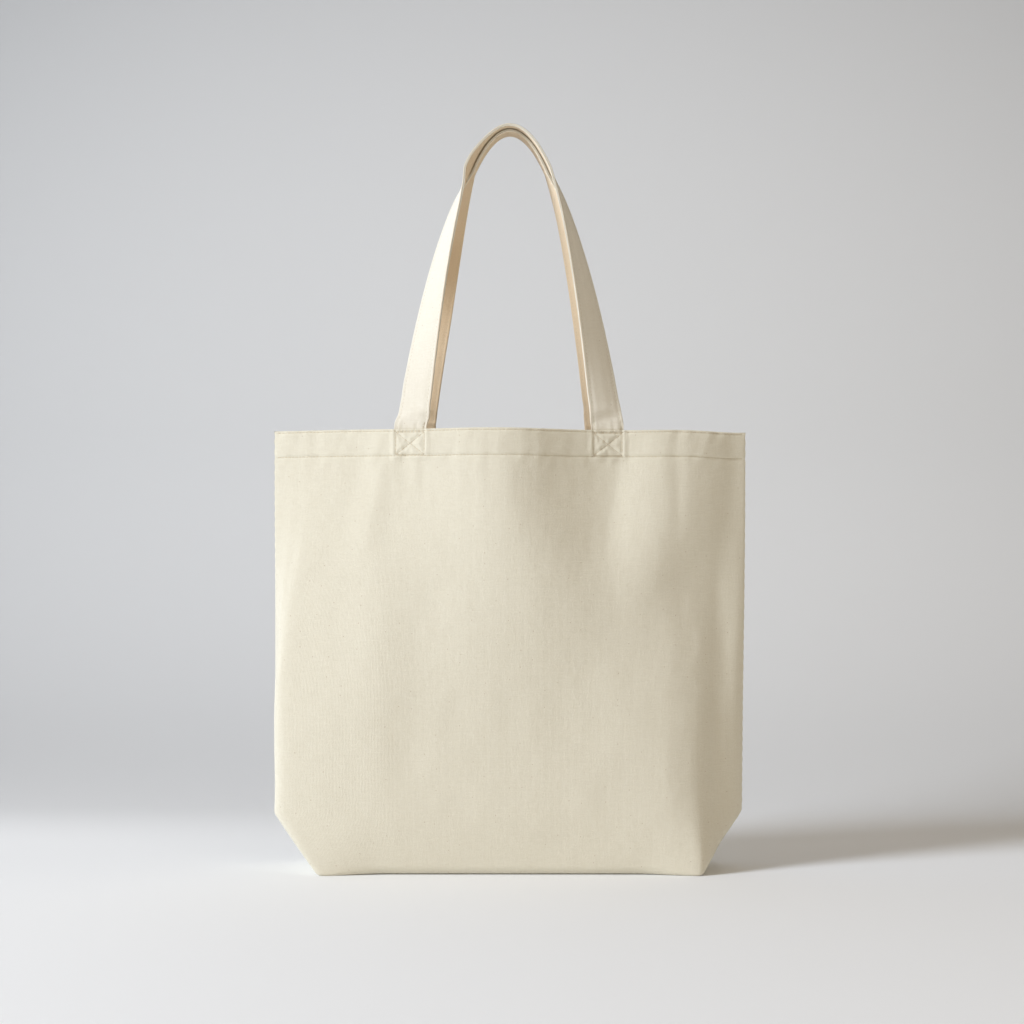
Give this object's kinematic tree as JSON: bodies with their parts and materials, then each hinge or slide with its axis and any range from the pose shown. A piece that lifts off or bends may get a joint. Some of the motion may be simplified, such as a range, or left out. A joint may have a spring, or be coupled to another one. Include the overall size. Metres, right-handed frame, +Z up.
{
  "type": "tote bag",
  "caption": "Plain undyed canvas tote bag standing open on a boxed base, with a hemmed mouth and strap handles raised over it.",
  "frame": {"origin": "middle of the flat base, on the surface the bag stands on", "axes": "+Z up, +X along the mouth to the right of a viewer facing the front wall, the front wall faces -Y"},
  "size_m": [0.42, 0.1, 0.658],
  "materials": {
    "canvas": "undyed cotton plain weave, matte",
    "strap_canvas": "the same canvas folded to a strap, matte",
    "thread": "undyed cotton sewing thread"
  },
  "bodies": {
    "bag_body": {"front_panel": "canvas", "back_panel": "canvas", "left_side_seam": "canvas", "right_side_seam": "canvas", "bottom_seam": "canvas", "left_corner_seam": "canvas", "right_corner_seam": "canvas", "front_left_handle_end": "strap_canvas", "front_right_handle_end": "strap_canvas", "back_left_handle_end": "strap_canvas", "back_right_handle_end": "strap_canvas", "front_hem_top_stitch": "thread", "front_hem_lower_stitch": "thread", "back_hem_top_stitch": "thread", "back_hem_lower_stitch": "thread", "front_left_box_stitch": "thread", "front_right_box_stitch": "thread", "back_left_box_stitch": "thread", "back_right_box_stitch": "thread"},
    "front_handle_loop": {"front_handle": "strap_canvas", "front_handle_inner_edge_stitch": "thread", "front_handle_outer_edge_stitch": "thread"},
    "back_handle_loop": {"back_handle": "strap_canvas", "back_handle_inner_edge_stitch": "thread", "back_handle_outer_edge_stitch": "thread"}
  },
  "joints": [
    {"name": "front_handle_swing", "type": "hinge", "parent": "bag_body", "child": "front_handle_loop", "pos_m": [0, -0.031, 0.388], "axis": [1, 0, 0], "range_deg": [0, 165]},
    {"name": "back_handle_swing", "type": "hinge", "parent": "bag_body", "child": "back_handle_loop", "pos_m": [0, 0.031, 0.388], "axis": [-1, 0, 0], "range_deg": [0, 165]}
  ]
}
